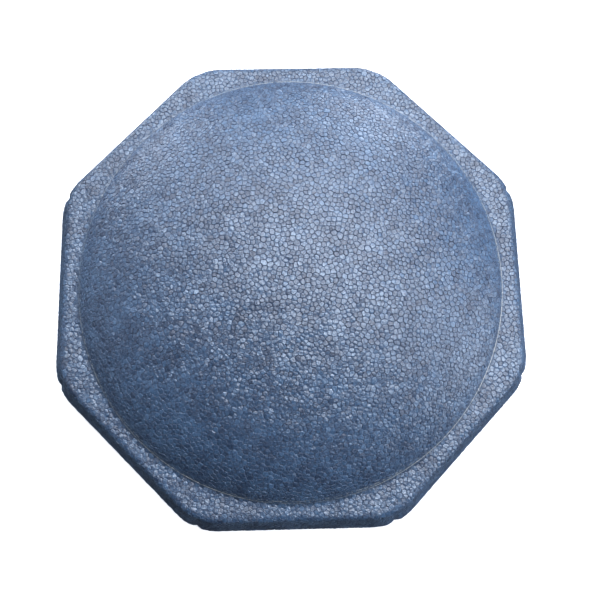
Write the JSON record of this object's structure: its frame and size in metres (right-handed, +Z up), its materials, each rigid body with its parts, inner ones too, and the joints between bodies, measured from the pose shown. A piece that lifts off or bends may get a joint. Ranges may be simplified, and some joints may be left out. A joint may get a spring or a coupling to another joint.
{
  "type": "balance dome trainer",
  "caption": "One-piece moulded bead-foam balance board: an octagonal plate with leaning sides and rounded, grooved corners, and a shallow round dome on it.",
  "frame": {"origin": "centre of the flat standing face, on the surface the board rests on", "axes": "+Z up through the middle of the dome; +X and +Y through the middles of two flats of the octagon"},
  "size_m": [0.39, 0.39, 0.079],
  "materials": {
    "bead_foam": "blue-grey expanded polypropylene bead foam, dull skin with a faint pearly sheen"
  },
  "bodies": {
    "root": {"foam_board": "bead_foam"}
  },
  "joints": []
}
